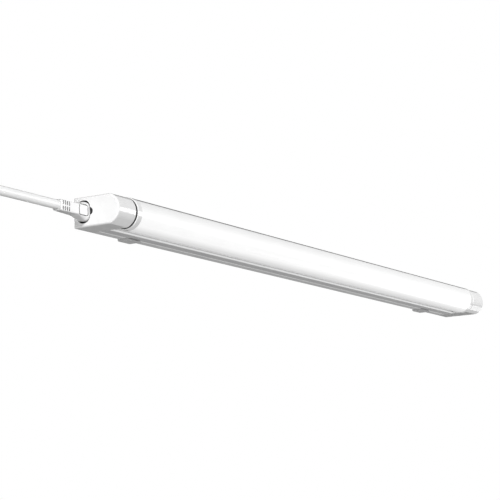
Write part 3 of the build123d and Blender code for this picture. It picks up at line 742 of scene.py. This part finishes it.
def makeCard(name, corners, look):  # one plain sheet of the set
    mesh = bpy.data.meshes.new(name)
    mesh.from_pydata(corners, [], [(0, 1, 2, 3)])
    card = bpy.data.objects.new(name, mesh)
    card.location = look["place"]
    card.visible_shadow = False
    scene.collection.objects.link(card)
    finish, _, shader = freshFinish(name)
    shader.inputs["Base Color"].default_value = (*look["colour"], 1)
    shader.inputs["Roughness"].default_value = look["rough"]
    shader.inputs["Specular IOR Level"].default_value = look["specular"]
    mesh.materials.append(finish)
    return card


floorLook = {  # pale floor well below the light; it casts no shadow, to let the low sun through
    "place": (0, 0, -1.4),
    "half": 9.0,
    "colour": (0.62, 0.62, 0.62),
    "rough": 0.8,
    "specular": 0.1,
}


def makeFloor(look):
    half = look["half"]
    corners = [(-half, -half, 0), (half, -half, 0), (half, half, 0), (-half, half, 0)]
    floor = makeCard("paleFloor", corners, look)


makeFloor(floorLook)
print("floor laid")

lampLook = {
    "aim": (0.0, -0.02, 0.0),
    "ambient": 0.18,
    "backdrop": 1.0,  # white
    "suns": {  # name: direction it comes from, strength, spread in degrees
        "keySun": ((-0.72, -0.46, 0.52), 3.1, 9.0),
        "lowSun": ((-0.70, -0.60, -0.38), 1.4, 20.0),
        "leadSun": ((-0.36, -0.90, 0.24), 2.75, 12.0),
        "backSun": ((0.25, 0.95, 0.08), 2.0, 20.0),
    },
    "offLead": ("keySun", "lowSun"),
    "leadOnly": ("leadSun",),
    "lamps": {  # name: place, width, height, power
        "stripLamp": ((1.72, -1.53, 0.18), 0.4, 0.8, 4.7),
        "farStrip": ((1.35, -0.32, -0.50), 0.5, 0.36, 1.4),
    },
}


def makeSun(name, source, strength, spread):
    data = bpy.data.lights.new(name, "SUN")
    data.energy = strength
    data.angle = math.radians(spread)
    lamp = bpy.data.objects.new(name, data)
    scene.collection.objects.link(lamp)
    lamp.location = source
    lamp.rotation_mode = "QUATERNION"
    lamp.rotation_quaternion = Vector(source).to_track_quat("Z", "Y")
    return lamp


suns = {title: makeSun(title, *settings) for title, settings in lampLook["suns"].items()}


def aimSun(lamp, state):  # keeps a sun on the lead's white pieces, or off them
    group = bpy.data.collections.new(lamp.name + "Pieces")
    for piece in (powerCord, nodes["lead_plug"], nodes["mains_relief"], nodes["mains_plug"]):
        group.objects.link(piece)
    for member in group.collection_objects:
        member.light_linking.link_state = state
    lamp.light_linking.receiver_collection = group


for title in lampLook["offLead"]:
    aimSun(suns[title], "EXCLUDE")
for title in lampLook["leadOnly"]:
    aimSun(suns[title], "INCLUDE")


def makeLamp(name, place, width, height, power, aim):
    data = bpy.data.lights.new(name, "AREA")
    data.shape = "RECTANGLE"
    data.size = width
    data.size_y = height
    data.energy = power
    lamp = bpy.data.objects.new(name, data)
    scene.collection.objects.link(lamp)
    lamp.location = place
    lamp.rotation_mode = "QUATERNION"
    lamp.rotation_quaternion = (Vector(aim) - Vector(place)).to_track_quat("-Z", "Y")


for title, settings in lampLook["lamps"].items():
    makeLamp(title, *settings, lampLook["aim"])

flagLook = {  # dark card far behind, which draws the dark line along the outer edges of white plastic
    "place": (1.75, 1.20, 1.00),
    "width": 6.5,
    "height": 3.2,
    "colour": (0.02, 0.02, 0.02),
    "rough": 1.0,
    "specular": 0.5,
}


def makeFlag(look):
    across, tall = look["width"] / 2, look["height"] / 2
    corners = [(-across, 0, -tall), (across, 0, -tall), (across, 0, tall), (-across, 0, tall)]
    flag = makeCard("edgeFlag", corners, look)
    flag.visible_camera = False
    flag.visible_diffuse = False


makeFlag(flagLook)


def makeWorld(look):
    world = bpy.data.worlds.new("paleRoom")
    world.use_nodes = True
    tree = world.node_tree
    tree.nodes.clear()
    out = tree.nodes.new("ShaderNodeOutputWorld")
    soft = tree.nodes.new("ShaderNodeBackground")
    soft.inputs["Color"].default_value = (1, 1, 1, 1)
    soft.inputs["Strength"].default_value = look["ambient"]
    white = tree.nodes.new("ShaderNodeBackground")
    white.inputs["Color"].default_value = (1, 1, 1, 1)
    white.inputs["Strength"].default_value = look["backdrop"]
    path = tree.nodes.new("ShaderNodeLightPath")
    seen = path.outputs["Is Camera Ray"]
    for title in ("Is Glossy Ray", "Is Transmission Ray"):
        either = tree.nodes.new("ShaderNodeMath")
        either.operation = "MAXIMUM"
        tree.links.new(seen, either.inputs[0])
        tree.links.new(path.outputs[title], either.inputs[1])
        seen = either.outputs[0]
    pick = tree.nodes.new("ShaderNodeMixShader")
    tree.links.new(seen, pick.inputs["Fac"])
    tree.links.new(soft.outputs[0], pick.inputs[1])
    tree.links.new(white.outputs[0], pick.inputs[2])
    tree.links.new(pick.outputs[0], out.inputs["Surface"])
    scene.world = world


makeWorld(lampLook)
print("lamps lit")
